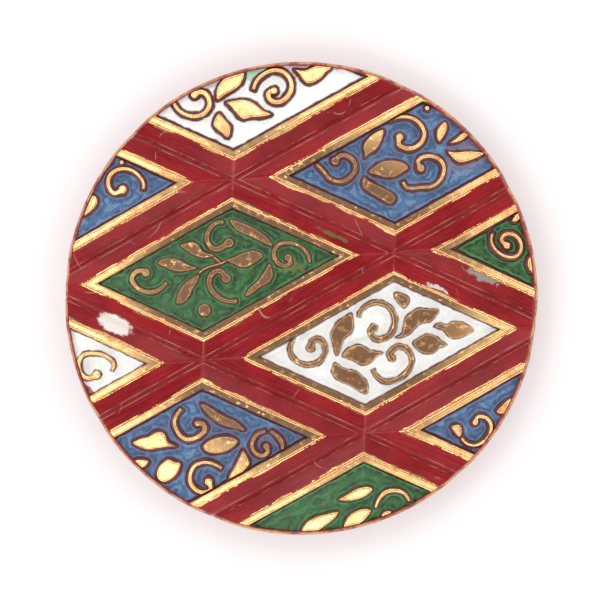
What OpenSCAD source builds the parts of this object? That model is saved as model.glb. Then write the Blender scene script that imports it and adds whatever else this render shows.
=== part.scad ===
// Round ink stick: a pressed cake of soot and glue with a moulded brocade face.
// The face is a shallow dome. Straight V-grooves cross on it in two directions and leave
// lozenge panels between them. Each panel holds a field of pigment, a gilt border and gilt
// scrollwork, and the cake itself is lacquered red. All lengths are millimetres, +Z is up
// through the face, and the origin is the middle of the flat back.

/* [Disc] */
// Diameter of the cake
disc_d = 42; // [38:0.5:46]
// Height of the face at its rim
rim_h = 7; // [5:0.5:10]
// Rise of the dome from its rim to its middle
dome_rise = 1.6; // [1:0.1:2.5]
// Width of the chamfer round the face
shoulder = 0.3; // [0.2:0.05:0.6]
// Width of the chamfer round the back
back_chamfer = 0.5; // [0.4:0.1:1]
// Thickness of the red lacquer
coat_t = 0.3; // [0.2:0.05:0.4]
// Thickness of the gilding on the shoulder
gilding_t = 0.1; // [0.05:0.05:0.2]

/* [Lattice] */
// Fall of the bands that run down to the right, in degrees
fall_angle = 24.4; // [20:0.1:32]
// Rise of the bands that run up to the right, in degrees
rise_angle = 29.3; // [20:0.1:32]
// Distance between neighbouring falling bands
fall_pitch = 15.6; // [14:0.1:17]
// Distance between neighbouring rising bands
rise_pitch = 12.6; // [11:0.1:14]
// Width of a falling band
fall_band = 3.3; // [2.4:0.1:4]
// Width of a rising band
rise_band = 3; // [2.4:0.1:4]
// Depth of a groove below the edges of its band
groove_depth = 0.6; // [0.3:0.05:0.8]
// Middle of the central green panel, to the right of the disc's middle
green_x = -7.35; // [-9:0.05:-5]
// Middle of the central green panel, above the disc's middle
green_y = 2.5; // [1:0.05:4]

/* [Relief] */
// Width of a panel's gilt border
border_w = 0.75; // [0.5:0.05:1]
// Height of borders and scrollwork above the edges of the bands
border_rise = 0.25; // [0.1:0.05:0.4]
// Depth of the pigment's surface below the borders
field_drop = 0.45; // [0.3:0.05:0.6]
// Thickness of the pigment
field_t = 0.3; // [0.2:0.05:0.5]
// How much the lines of the scrolls are thickened
line_gain = 1; // [0.8:0.05:1.2]

/* [Hidden] */
disc_r = disc_d / 2;
total_h = rim_h + dome_rise;
dome_r = (disc_r * disc_r + dome_rise * dome_rise) / (2 * dome_rise);
dome_z = total_h - dome_r;
pocket_drop = field_drop + field_t;
lip = 0.05;
face_r = disc_r - shoulder - lip;
cut_z = 4;
crossing = fall_angle + rise_angle;
// From one panel's middle to the next: right_step along a falling band, left_step along a rising one
right_step = [cos(fall_angle), -sin(fall_angle)] * rise_pitch / sin(crossing);
left_step = [-cos(rise_angle), -sin(rise_angle)] * fall_pitch / sin(crossing);

// Each panel: name, steps to the right, steps to the left, pigment, leaves [outline],
// scrolls [eye, width, points], berries [middle, diameter]. A scroll's eye is the diameter of the
// bulb at its last point. Places count from the panel's middle.
panels = [
  ["green_centre", 0, 0, "green",
    [[[-5.35, 0.6], [-4.8, 1], [-4.15, 1.05], [-3.5, 0.95], [-2.85, 0.6], [-2.3, 0.35], [-1.7, 0.15],
     [-2.5, -0.1], [-3.4, -0.15], [-4.15, 0], [-4.85, 0.3]],
     [[-3.35, 2.15], [-2.7, 2.4], [-2.05, 2.45], [-1.6, 2.1], [-1.2, 1.55], [-0.35, 1.35], [-0.7, 1.05],
     [-1.5, 1.05], [-2.3, 1.35], [-2.85, 1.75]],
     [[1.05, 4.4], [1.8, 4.3], [2.6, 3.95], [3.45, 3.55], [4.15, 3.05], [4.65, 2.5], [4.85, 2.05], [4.1, 2.3],
     [3.3, 2.7], [2.5, 3.05], [1.7, 3.45], [1.3, 3.9]],
     [[0.75, 0.85], [1.4, 1.1], [2.15, 1.45], [3, 1.7], [3.6, 1.6], [4.05, 1.2], [3.5, 0.75], [2.8, 0.3],
     [2.05, 0.2], [1.4, 0.5]],
     [[4.55, 0.6], [4.2, 0], [3.7, -0.75], [3.15, -1.3], [2.65, -1.75], [2.4, -2.35], [3, -2.15], [3.7, -1.6],
     [4.4, -1.2], [4.85, -0.65], [4.8, 0.05]],
     [[-1.6, -0.4], [-2.4, -0.8], [-3.05, -1.35], [-3.45, -2], [-3.65, -2.95], [-3, -2.9], [-2.5, -2.4],
     [-2.15, -1.65], [-1.75, -1]]],
    [[0.8, 0.5, [[-4.5, -1.1], [-4.95, -1.6], [-5.7, -1.95], [-6.5, -1.9], [-7.2, -1.5], [-7.6, -0.8],
      [-7.3, -0.25], [-6.8, -0.05], [-6.35, -0.25]]],
     [0.85, 0.5, [[0.55, 4.15], [0.1, 4.2], [-0.5, 3.85], [-0.9, 3.2], [-0.9, 2.5], [-0.55, 1.95], [0, 1.8],
      [0.5, 2.05], [1, 2.35]]],
     [0.85, 0.5, [[1.75, -2.75], [1.1, -2.8], [0.3, -2.55], [-0.4, -1.95], [-0.75, -1.15], [-0.6, -0.5],
      [-0.1, -0.1], [0.4, -0.2], [0.75, -0.75]]],
     [0.7, 0.42, [[8.1, 0.6], [7.95, 1.3], [7.4, 1.95], [6.5, 2.35], [5.6, 2.3], [5.05, 1.85], [4.95, 1.2],
      [5.3, 0.6], [5.9, 0.35], [6.4, 0.6], [6.2, 1.05]]],
     [0, 0.26, [[-1.75, -0.4], [-1.1, 0.1], [-0.4, 0.35], [0.3, 0.55], [0.85, 0.85]]],
     [0, 0.24, [[-0.45, 1.2], [0, 0.85], [0.3, 0.5]]]],
    [[[-1.15, -3.55], 1.15]]],
  ["white_centre", 1, 0, "white",
    [[[-2.5, 2.6], [-3, 2.4], [-3.6, 2], [-4.1, 1.35], [-4.35, 0.7], [-4.1, -0.1], [-3.9, -0.95], [-3.6, -1],
     [-3.35, -0.2], [-3, 0.55], [-2.5, 0.9], [-2.3, 1.6]],
     [[0.3, -0.85], [-0.3, -0.7], [-1, -0.5], [-1.6, -0.15], [-2.3, -0.2], [-2.95, -0.55], [-3.3, -1.15],
     [-2.4, -1.5], [-1.6, -1.9], [-0.85, -1.75], [-0.25, -1.2]],
     [[-3.9, -1.75], [-3.05, -2.2], [-2.05, -2.45], [-1.4, -3], [-1, -3.7], [-1.1, -4.5], [-1.85, -4.2],
     [-2.7, -3.7], [-3.6, -3.3], [-4.2, -2.65], [-4.15, -2]],
     [[1.3, 4.4], [2.1, 4.3], [2.6, 3.85], [2.2, 3.1], [1.55, 3.6]],
     [[1.35, 0.5], [1.95, 0.85], [2.05, 1.5], [2.2, 2.15], [2.8, 2.75], [3.5, 3.1], [4.4, 3], [5.25, 2.95],
     [4.95, 2.3], [4.3, 1.85], [3.6, 1.7], [3.1, 1.3], [2.7, 0.85], [2, 0.5]],
     [[4.8, 1.45], [5.35, 1.8], [5.9, 1.6], [6.4, 1.9], [7.1, 1.9], [7.8, 1.6], [8.35, 1.1], [7.8, 0.75],
     [7.1, 0.45], [6.4, 0.4], [5.95, 0.7], [5.6, 1.15]],
     [[2.95, 0.1], [3.6, 0.55], [4.25, 0.85], [4.9, 0.65], [5.45, 0.2], [6, -0.15], [5.35, -0.45], [4.7, -0.9],
     [3.9, -0.9], [3.3, -0.6]]],
    [[0.75, 0.52, [[-7.5, 0.5], [-7.85, -0.3], [-7.75, -1.1], [-7.1, -1.7], [-6.2, -1.9], [-5.3, -1.6],
      [-4.8, -0.9], [-4.85, -0.15], [-5.3, 0.35], [-5.85, 0.25], [-6.1, -0.4]]],
     [0.7, 0.52, [[-1.85, 2.35], [-1.6, 2.9], [-1.1, 3.35], [-0.4, 3.6], [0.4, 3.45], [1, 3], [1.35, 2.2],
      [1.25, 1.3], [0.8, 0.65], [0.1, 0.35], [-0.55, 0.5], [-0.85, 1.05], [-0.5, 1.4]]],
     [0.6, 0.52, [[-0.6, -2.3], [-0.3, -2.9], [0.4, -3.35], [1.1, -3.35], [1.9, -3], [2.6, -2.3], [2.85, -1.5],
      [2.6, -0.75], [2, -0.3], [1.4, -0.35], [0.85, -0.9], [1.1, -1.35]]]],
    []],
  ["blue_upper", 0, -1, "blue",
    [[[-2.25, 2.9], [-2.8, 2.8], [-3.4, 2.4], [-3.9, 1.85], [-4.1, 1.3], [-3.95, 0.8], [-3.95, 0.35],
     [-3.5, 0.75], [-3, 1.05], [-2.6, 1.6], [-2.35, 2.2]],
     [[-3.6, -0.9], [-3.1, -0.35], [-2.35, 0.1], [-1.55, 0.2], [-0.7, 0.05], [-0.05, -0.45], [-0.6, -0.9],
     [-1.25, -1.3], [-2.1, -1.35], [-2.9, -1.15]],
     [[-4, -1.3], [-3.6, -1.6], [-3.1, -1.9], [-2.2, -2.35], [-1.5, -2.75], [-1.25, -3.2], [-1.55, -3.65],
     [-1.95, -3.65], [-2.5, -3.3], [-3.35, -2.8], [-4, -2.35], [-4.2, -1.8]],
     [[3.25, 3.7], [3.4, 3.3], [3.3, 2.75], [3, 2.2], [2.65, 1.8], [2.4, 2.3], [2.5, 2.95], [2.8, 3.4]],
     [[5.35, 2.55], [4.75, 2], [4.1, 1.75], [3.5, 1.7], [4.1, 2.15], [4.6, 2.6], [5, 2.75]],
     [[6.7, 0.85], [5.95, 1.05], [4.85, 1.05], [4, 0.95], [3.35, 1.05], [3.75, 0.45], [4.4, 0], [5.2, 0.1],
     [6, 0.4]]],
    [[0.75, 0.42, [[-8.2, -0.15], [-7.6, -0.8], [-7, -1.5], [-6.1, -1.75], [-5.3, -1.4], [-4.8, -0.7],
      [-4.85, 0], [-5.4, 0.5], [-6.1, 0.6], [-6.55, 0.1]]],
     [0.75, 0.48, [[-1.7, 3.75], [-1, 4], [-0.2, 4.05], [0.55, 3.8], [1.1, 3.25], [1.35, 2.5], [1.05, 1.75],
      [0.4, 1.3], [-0.35, 1.25], [-0.95, 1.6], [-0.85, 2.25]]],
     [0.75, 0.44, [[-0.6, -1.7], [-0.3, -2.2], [0.3, -2.3], [1.1, -2.2], [1.9, -2.15], [2.6, -1.7], [3, -1],
      [3.05, -0.3], [2.7, 0.25], [2, 0.55], [1.25, 0.5], [0.75, 0.1], [1, -0.5]]]],
    [[[1.6, 4.85], 0.5]]],
  ["blue_lower", 1, 1, "blue",
    [[[-4.95, 0.65], [-4.3, 1.05], [-3.5, 1.25], [-3, 1.6], [-2.5, 1.7], [-2, 1.45], [-1.75, 0.75],
     [-0.95, 0.35], [-1.9, 0.25], [-2.85, 0.1], [-3.6, 0], [-4.4, 0.25]],
     [[1.1, 4.15], [1.9, 3.9], [2.7, 3.35], [3.5, 2.95], [4.3, 2.55], [5.05, 1.8], [4.2, 1.95], [3.2, 2.2],
     [2.4, 2.6], [1.7, 3.25]],
     [[1.3, 0.4], [1.9, 0.95], [2.8, 1.25], [3.7, 1.25], [4.45, 0.9], [4.1, 0.35], [3.35, -0.1], [2.45, -0.3],
     [1.65, -0.15]],
     [[4.85, 0.05], [4.4, -0.8], [4, -1.55], [3.6, -2.3], [3.75, -2.9], [4.4, -2.4], [5, -1.8], [5.45, -1.2],
     [5.25, -0.5]],
     [[-1.75, -0.75], [-1.2, -1], [-0.65, -1.15], [-0.85, -1.9], [-1.4, -2.55], [-2.2, -2.9], [-2.8, -2.45],
     [-2.75, -1.65], [-2.3, -1.1]],
     [[-4.8, -0.95], [-4.2, -0.8], [-3.5, -0.95], [-3.8, -1.5], [-4.4, -1.6]]],
    [[0.6, 0.5, [[-0.55, 3.7], [-1, 3.15], [-1.2, 2.4], [-0.9, 1.6], [-0.35, 1.05], [0.3, 1], [1, 1.3],
      [1.5, 1.8], [1.35, 2.35], [0.85, 2.4]]],
     [0.6, 0.44, [[6.85, 1.75], [6.2, 1.5], [5.75, 0.95], [5.65, 0.3], [6, -0.25], [6.6, -0.45], [7.05, -0.1],
      [6.9, 0.4]]],
     [0, 0.42, [[7.3, 1.75], [7.9, 1.3], [8.3, 0.7], [8.35, 0.1]]],
     [0.8, 0.48, [[3, -1.6], [2.3, -1.2], [1.4, -1.05], [0.6, -1.35], [0.2, -2.05], [0.2, -2.9], [0.65, -3.5],
      [1.35, -3.75], [2, -3.45], [1.8, -2.8]]]],
    []],
  ["white_upper", -1, -1, "white",
    [[[-0.35, 1.6], [-0.45, 0.8], [-1.05, 0.1], [-1.9, -0.4], [-2.75, -0.9], [-2.8, 0], [-2.4, 0.8],
     [-1.7, 1.3], [-0.95, 1.55]],
     [[-1.95, -1.1], [-1.35, -0.95], [-0.4, -0.85], [0.5, -1.15], [1.3, -1.8], [2.1, -2.2], [1.3, -2.45],
     [0.3, -2.5], [-0.5, -2.65], [-1.2, -1.95], [-1.6, -1.45]],
     [[-2.55, -2.1], [-1.95, -2.7], [-1.5, -3.4], [-1.75, -4.3], [-2.5, -3.75], [-3.05, -3.2], [-2.95, -2.55]],
     [[4.1, 1.85], [5, 1.75], [6.1, 2.2], [7.4, 2.05], [6.9, 1.55], [6.3, 0.9], [5.4, 0.5], [4.85, 0.85],
     [4.5, 1.35]]],
    [[0.75, 0.5, [[-6.6, -1.1], [-6.2, -1.75], [-5.4, -2.25], [-4.5, -2.35], [-3.75, -2], [-3.4, -1.3],
      [-3.55, -0.6], [-4.1, -0.15], [-4.75, -0.4]]],
     [0.7, 0.52, [[0.45, 0], [0.7, 0.7], [1.3, 1.35], [2.2, 1.75], [3.1, 1.6], [3.7, 1], [3.85, 0.2],
      [3.5, -0.6], [2.8, -1.1], [2, -0.95], [1.8, -0.3], [2.3, -0.1]]]],
    []],
  ["blue_left", -1, 0, "blue",
    [[[3.5, 0], [3.55, -0.65], [3, -1.3], [2.15, -1.8], [2.1, -1.1], [2.5, -0.35], [3, 0.15]]],
    [[0.85, 0.48, [[7.65, 0.65], [7.65, 1.25], [7.2, 1.9], [6.6, 2.35], [5.9, 2.5], [5.2, 2.35], [4.65, 1.9],
      [4.5, 1.2], [4.7, 0.6], [5.15, 0.3], [5.8, 0.65]]]],
    [[[5.7, 3.05], 0.5]]],
  ["green_right", 1, -1, "green",
    [[[-5.1, 2.6], [-4.4, 2.4], [-4.2, 1.8], [-4.7, 1.25], [-5.2, 1.3], [-4.9, 1.9]],
     [[-3.6, -1.8], [-3.15, -2.1], [-3.1, -3], [-3.4, -3.3], [-3.8, -2.6]]],
    [[0.7, 0.42, [[-6.9, 0.2], [-7, -0.4], [-6.75, -1.05], [-6.1, -1.65], [-5.3, -1.9], [-4.6, -1.7],
      [-4.3, -1], [-4.5, -0.3], [-5.1, 0.15], [-5.8, 0.1], [-6.1, -0.4], [-5.6, -0.85]]]],
    []],
  ["white_left", 0, 1, "white",
    [],
    [[0.85, 0.48, [[7.5, 0.55], [7.7, 1.1], [7.3, 1.65], [6.6, 2], [5.7, 2.1], [4.95, 1.95], [4.55, 1.4],
      [4.55, 0.65], [4.95, 0.05], [5.5, -0.1], [6.1, 0.2]]]],
    []],
  ["blue_right", 2, 0, "blue",
    [[[-7.9, -0.9], [-7.2, -0.7], [-6.9, -1.2], [-7.1, -1.9], [-7.6, -1.5]],
     [[-3.9, 0.35], [-3.3, 0.15], [-2.7, 0.7], [-2.1, 1.7], [-2.8, 1.5], [-3.4, 0.95]]],
    [[0.6, 0.42, [[-7, -1.9], [-6.5, -2.45], [-5.7, -2.6], [-4.9, -2.2], [-4.4, -1.5], [-4.35, -0.7],
      [-4.8, -0.15], [-5.5, -0.05], [-5.75, -0.55]]]],
    []],
  ["green_lower", 2, 1, "green",
    [[[-1, 2.1], [-0.2, 2.6], [0.6, 3.1], [1.6, 3.3], [2.1, 3], [1.6, 2.45], [0.7, 2.05], [-0.3, 1.95]],
     [[-4.3, -0.95], [-3.8, 0.1], [-2.9, 0.6], [-2, 0.85], [-0.95, 1.05], [-1.3, 0.35], [-2.2, -0.35],
     [-3.1, -0.9]],
     [[-0.5, -0.45], [-0.35, 0.25], [0.2, 0.9], [1.1, 1.3], [1.95, 1.15], [1.65, 0.55], [1.1, 0], [0.25, -0.4]],
     [[2.8, 0.55], [3.1, 1.05], [3.8, 1.05], [3.4, 0.6]]],
    [[0, 0.45, [[2.3, 1.3], [2.6, 2.1], [3.2, 2.75], [4.1, 2.9], [4.9, 2.6], [5.35, 1.9]]]],
    []]];

$fn = 180;

function panel_middle(p) = [green_x, green_y] + p[1] * right_step + p[2] * left_step;

// Corners of a lozenge that lies inset from the edges of the bands round it
function lozenge(inset) =
  let (across = right_step / 2 * (1 - (rise_band + 2 * inset) / rise_pitch),
       along = left_step / 2 * (1 - (fall_band + 2 * inset) / fall_pitch))
  [-across - along, across - along, across + along, along - across];

// Height of the dome at radius r, on the sphere that lies drop below the relief
function dome_height(r, drop) = dome_z + sqrt(pow(dome_r - drop, 2) - r * r);

// Point t of the way along a smooth curve that passes through b and c, with a and d before and after
function curve(a, b, c, d, t) =
  b + (c - a) * t / 2 + (2 * a - 5 * b + 4 * c - d) * t * t / 2 + (3 * b - a - 3 * c + d) * t * t * t / 2;
function smooth(points, steps = 3) =
  let (last = len(points) - 1)
  concat([for (i = [0:last - 1], k = [0:steps - 1])
    curve(points[max(i - 1, 0)], points[i], points[i + 1], points[min(i + 2, last)], k / steps)],
    [points[last]]);
function unit(v) = v / norm(v);
function left_of(v) = [-v[1], v[0]];
function heading(path, i) = unit(path[min(i + 1, len(path) - 1)] - path[max(i - 1, 0)]);

// Half width of a scroll's line: it swells from a thin tail, and thins again where no eye ends it
function swell(t, eye, width) =
  line_gain * width / 2 * (eye > 0 ? 0.7 + 0.3 * sin(90 * t) : 0.6 + 0.4 * sin(180 * t));

module dome(drop) {
  translate([0, 0, dome_z]) rotate([90, 0, 0]) sphere(r = dome_r - drop, $fn = 360);
}

// The cake before its face is cut. An inset makes it smaller all over.
module blank(inset) {
  r = disc_r - inset;
  top_r = r - shoulder;
  shoulder_z = dome_height(top_r, border_rise + inset) - shoulder - gilding_t;
  intersection() {
    dome(border_rise + inset);
    rotate_extrude() polygon([[0, inset], [r - back_chamfer, inset], [r, inset + back_chamfer],
      [r, shoulder_z], [top_r, shoulder_z + shoulder], [top_r, total_h], [0, total_h]]);
  }
}

// One V-groove that follows the dome, at a plan angle and a distance from the middle
module groove(angle, away, band, inset) {
  tip_r = dome_r - border_rise - groove_depth - inset / cos(atan(2 * groove_depth / band));
  open = 1.5;
  wall = band / 2 / groove_depth;
  sweep = 2 * asin(1.2 * disc_r / dome_r);
  translate([0, 0, dome_z]) rotate([0, 0, angle]) rotate([-asin(away / dome_r), 0, 0])
    rotate([90, 0, 0]) rotate([0, 0, 90 - sweep / 2]) rotate_extrude(angle = sweep, $fn = 360)
      polygon([[tip_r, 0], [tip_r + open, -open * wall], [tip_r + open, open * wall]]);
}

module grooves(inset) {
  middle = [green_x, green_y];
  for (k = [-2:1]) {
    away = (middle + (k + 0.5) * left_step) * [sin(fall_angle), cos(fall_angle)];
    if (abs(away) < disc_r) groove(-fall_angle, away, fall_band, inset);
  }
  for (k = [-2:2]) {
    away = (middle + (k + 0.5) * right_step) * [-sin(rise_angle), cos(rise_angle)];
    if (abs(away) < disc_r) groove(rise_angle, away, rise_band, inset);
  }
}

module panel_prism(p, inset) {
  translate(concat(panel_middle(p), cut_z)) linear_extrude(total_h) polygon(lozenge(inset));
}

// Pockets for the panels. The lacquer keeps a lip round the rim, and the core has none.
module pockets(inset) {
  difference() {
    intersection() {
      union() for (p = panels) panel_prism(p, -inset);
      cylinder(r = inset > 0 ? disc_r : face_r, h = 2 * total_h);
    }
    dome(pocket_drop + inset);
  }
}

module cake(inset) {
  difference() {
    blank(inset);
    grooves(inset);
    pockets(inset);
  }
}

// A layer of the relief: its upright shape between two spheres, inside the lip
module layer(top, bottom) {
  difference() {
    intersection() {
      children();
      cylinder(r = face_r, h = 2 * total_h);
      dome(top);
    }
    dome(bottom);
  }
}

module leaf(outline) {
  last = len(outline) - 1;
  steps = 3;
  polygon([for (i = [0:last], k = [0:steps - 1])
    curve(outline[i > 0 ? i - 1 : last], outline[i], outline[(i + 1) % (last + 1)], outline[(i + 2) % (last + 1)],
      k / steps)]);
}

module scroll(eye, width, points) {
  path = smooth(points);
  last = len(path) - 1;
  polygon(concat(
    [for (i = [0:last]) path[i] + left_of(heading(path, i)) * swell(i / last, eye, width)],
    [for (i = [last:-1:0]) path[i] - left_of(heading(path, i)) * swell(i / last, eye, width)]));
  if (eye > 0) translate(path[last]) circle(d = eye, $fn = 24);
}

module ink_core() {
  color("dimgray") cake(coat_t);
}

module lacquer_coat() {
  color("firebrick") difference() {
    cake(0);
    cake(coat_t);
  }
}

module rim_gilding() {
  top_r = disc_r - shoulder;
  top_z = dome_height(top_r, border_rise);
  color("goldenrod") difference() {
    rotate_extrude() polygon([[disc_r, top_z - shoulder - gilding_t], [disc_r, top_z - shoulder],
      [top_r, top_z], [top_r, top_z - gilding_t]]);
    grooves(0);
  }
}

module field(p) {
  color(p[3] == "green" ? "forestgreen" : p[3] == "blue" ? "steelblue" : "whitesmoke")
    layer(field_drop, pocket_drop) panel_prism(p, border_w);
}

module border(p) {
  color("gold") layer(0, pocket_drop) difference() {
    panel_prism(p, 0);
    panel_prism(p, border_w);
  }
}

module scrollwork(p) {
  color("goldenrod") layer(0, field_drop) intersection() {
    panel_prism(p, border_w);
    translate(concat(panel_middle(p), cut_z)) linear_extrude(total_h) {
      for (l = p[4]) leaf(l);
      for (s = p[5]) scroll(s[0], s[1], s[2]);
      for (b = p[6]) translate(b[0]) circle(d = b[1], $fn = 24);
    }
  }
}

ink_core();
lacquer_coat();
rim_gilding();
for (p = panels) {
  field(p);
  border(p);
  scrollwork(p);
}
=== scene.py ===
# %% [markdown]
# # A round ink stick, layer by layer
# An ink stick is soot and glue pressed in a carved mould. This one is a round cake with a shallow domed
# face. Two sets of grooves cross on the face and leave lozenge panels between them. The cake was
# lacquered red, each panel's ground was filled with a pigment, and the raised borders and scrolls were
# gilded by hand. The CAD model holds the true sizes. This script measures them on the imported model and
# makes the surfaces that a mould, a brush and some years of handling leave.

# %% Load the frame
import math

import bpy
import numpy as np
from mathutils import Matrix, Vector, kdtree, noise
from mathutils.geometry import delaunay_2d_cdt


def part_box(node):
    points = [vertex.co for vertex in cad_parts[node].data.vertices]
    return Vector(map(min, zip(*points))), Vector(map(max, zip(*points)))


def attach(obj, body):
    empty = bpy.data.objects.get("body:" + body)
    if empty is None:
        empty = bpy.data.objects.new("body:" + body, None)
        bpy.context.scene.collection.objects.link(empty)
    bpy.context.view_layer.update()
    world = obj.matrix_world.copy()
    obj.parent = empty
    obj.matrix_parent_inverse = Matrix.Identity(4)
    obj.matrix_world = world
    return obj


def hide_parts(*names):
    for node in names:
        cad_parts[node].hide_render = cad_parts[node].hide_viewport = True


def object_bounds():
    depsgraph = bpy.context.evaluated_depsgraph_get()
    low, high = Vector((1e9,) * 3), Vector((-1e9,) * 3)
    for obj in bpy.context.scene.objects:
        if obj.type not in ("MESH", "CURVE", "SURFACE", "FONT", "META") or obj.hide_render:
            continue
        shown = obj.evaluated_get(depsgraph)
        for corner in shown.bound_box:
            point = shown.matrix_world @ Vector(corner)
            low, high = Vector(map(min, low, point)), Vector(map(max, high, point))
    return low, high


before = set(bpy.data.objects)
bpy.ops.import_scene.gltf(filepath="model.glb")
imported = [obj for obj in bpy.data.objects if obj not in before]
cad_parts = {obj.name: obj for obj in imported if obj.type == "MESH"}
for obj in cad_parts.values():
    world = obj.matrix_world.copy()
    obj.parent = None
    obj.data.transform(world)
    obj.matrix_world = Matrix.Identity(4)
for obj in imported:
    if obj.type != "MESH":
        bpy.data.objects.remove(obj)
MM = 0.001
cad_box = [list(corner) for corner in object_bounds()]
print("CAD box, mm:", np.round(np.array(cad_box) / MM, 2).tolist())

# %% [markdown]
# ## Measuring the cake
# All measures come from the CAD nodes, in millimetres. A node's upward faces give the outline of a
# relief and the height of its top. Doubled points are joined first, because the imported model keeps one
# copy of a point for each face that meets there.

# %% Read the upward faces of a node
def upward(node):
    """A CAD node's points in mm, with doubles joined, and the faces among them that look up."""
    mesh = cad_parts[node].data
    points = np.array([v.co for v in mesh.vertices]) / MM
    _, first, same = np.unique(np.round(points, 3), axis=0, return_index=True, return_inverse=True)
    same = same.ravel()
    faces = [[int(same[i]) for i in p.vertices] for p in mesh.polygons if p.normal.z > 0.5]
    return points[first], faces


def upward_points(node):
    points, faces = upward(node)
    return points[sorted({i for face in faces for i in face})]


def outlines(node):
    """Closed plan outlines of a node's upward faces. Outer ones turn left and holes turn right."""
    points, faces = upward(node)
    edges = {(face[k - 1], face[k]) for face in faces for k in range(len(face))}
    onward = {a: b for a, b in sorted(edges) if (b, a) not in edges}
    loops = []
    while onward:
        at, loop = min(onward), []
        while at in onward:
            loop.append(points[at, :2])
            at = onward.pop(at)
        loops.append(np.array(loop))
    return loops


panel_names = sorted(n[: -len("_field")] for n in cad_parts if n.endswith("_field"))
print(len(panel_names), "panels:", ", ".join(panel_names))

# %% [markdown]
# The tops of all borders lie on one sphere, which is the dome of the face. Fitting its radius and its
# centre's height is a small least-squares sum, because a sphere's equation is linear in the two
# unknowns once it is multiplied out. Every other height is then a drop below that sphere.

# %% Fit the dome
border_tops = np.vstack([upward_points(p + "_border") for p in panel_names])
(double_z, rest), *_ = np.linalg.lstsq(
    np.column_stack([border_tops[:, 2], np.ones(len(border_tops))]), (border_tops**2).sum(1), rcond=None)
dome_z = double_z / 2
dome_r = math.sqrt(rest + dome_z**2)


def drop_of(points):
    """How far points lie below the dome."""
    return dome_r - np.linalg.norm(points - [0, 0, dome_z], axis=1)


def height(xy, drop):
    """Height in mm of a surface that lies drop below the dome."""
    return dome_z + np.sqrt((dome_r - drop) ** 2 - (xy**2).sum(1))


disc_r = cad_box[1][0] / MM
field_points = np.vstack([upward_points(p + "_field") for p in panel_names])
face_r = np.hypot(*field_points.T[:2]).max()
coat_points = upward_points("lacquer_coat")
coat_points = coat_points[(coat_points[:, 2] > disc_r / 4) & (np.hypot(*coat_points.T[:2]) < face_r - 0.5)]
coat_drops = drop_of(coat_points)
band_drop, groove_drop = coat_drops.min(), coat_drops.max()
field_drop = drop_of(field_points).mean()
print(f"dome radius {dome_r:.1f}, face radius {face_r:.2f}, drops: bands {band_drop:.2f}, "
      f"pigment {field_drop:.2f}, grooves {groove_drop:.2f}")

# %% [markdown]
# ## The lattice
# The panels repeat like tiles. One whole panel gives the slant of its edges, the next one along a
# falling band gives the first step, and a third gives the other step. From those, the distance of any
# point to its nearest band's middle line is a short formula, which shapes the grooves later.

# %% Measure the lattice
def corners(loop):
    """Left, top, right and bottom corner of a lozenge outline."""
    x, y = loop.T
    return np.array([loop[x.argmin()], loop[y.argmax()], loop[x.argmax()], loop[y.argmin()]])


def area(loop):
    x, y = loop.T
    return (x * np.roll(y, -1) - y * np.roll(x, -1)).sum() / 2


green_loops = sorted(outlines("green_centre_border"), key=area)
outer, inner = corners(green_loops[-1]), corners(green_loops[0])
origin = outer.mean(0)
right_step = corners(max(outlines("white_centre_border"), key=area)).mean(0) - origin
down_step = corners(max(outlines("blue_lower_border"), key=area))[2] - outer[2]
left_step = down_step - right_step
falling = right_step / np.linalg.norm(right_step)
rising = -left_step / np.linalg.norm(left_step)
normals = np.array([[-falling[1], falling[0]], [-rising[1], rising[0]]])
pitches = np.abs([normals[0] @ left_step, normals[1] @ right_step])
half_panel = np.abs(normals @ (outer[1] - origin))
half_band = pitches / 2 - half_panel
border_w = (half_panel - np.abs(normals @ (inner[1] - origin))).mean()
print(f"band pitches {pitches.round(2)}, half bands {half_band.round(2)}, border {border_w:.2f}")

# %% Distances on the lattice
def off_middle(xy, k):
    """Signed distance from the middle line of the nearest falling (0) or rising (1) band."""
    steps = (xy - origin) @ normals[k] / pitches[k] - 0.5
    return (steps - np.round(steps)) * pitches[k]


def into_panel(xy, middle):
    """Distance inwards from the edge of the panel round middle, less than zero outside it."""
    return (half_panel - np.abs((xy - middle) @ normals.T)).min(1)


def panel_middle(name):
    low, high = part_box(name + "_field")
    seen = np.array((low + high)[:2]) / 2 / MM - origin
    steps = np.round(np.linalg.solve(np.array([right_step, left_step]).T, seen))
    return origin + steps @ np.array([right_step, left_step])


middles = {name: panel_middle(name) for name in panel_names}
print({name: middle.round(1).tolist() for name, middle in middles.items()})

# %% [markdown]
# ## Meshing a layer
# Each layer is a thin solid whose top is a field of heights over its plan shape. The plan is filled
# with a staggered grid of points, and a constrained Delaunay triangulation joins them without crossing
# the outline. The alternative, a displaced grid trimmed by a Boolean, leaves ragged edges. The sides
# drop straight down, and the underside needs only the outline's own points.

# %% Outlines as points and as sides
def sides(loop):
    return np.stack([loop, np.roll(loop, -1, 0)], 1)


def inside(xy, edges):
    """Whether points lie inside closed edges: a ray to the right then meets them an odd number of times."""
    odd = np.zeros(len(xy), bool)
    for (x0, y0), (x1, y1) in edges:
        if y0 != y1:
            level = (xy[:, 1] < y0) != (xy[:, 1] < y1)
            odd ^= level & (xy[:, 0] < x0 + (xy[:, 1] - y0) * (x1 - x0) / (y1 - y0))
    return odd


def resample(loop, spacing):
    """The closed loop with points added, so that none of its sides is longer than spacing."""
    found = []
    for a, b in sides(loop):
        count = max(1, math.ceil(np.linalg.norm(b - a) / spacing))
        found += [a + (b - a) * k / count for k in range(count)]
    return np.array(found)


def seek(points):
    """A search tree over plan points."""
    tree = kdtree.KDTree(len(points))
    for i, (x, y) in enumerate(points):
        tree.insert((x, y, 0), i)
    tree.balance()
    return tree


def distance(xy, tree):
    return np.array([tree.find((x, y, 0))[2] for x, y in xy])


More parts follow.
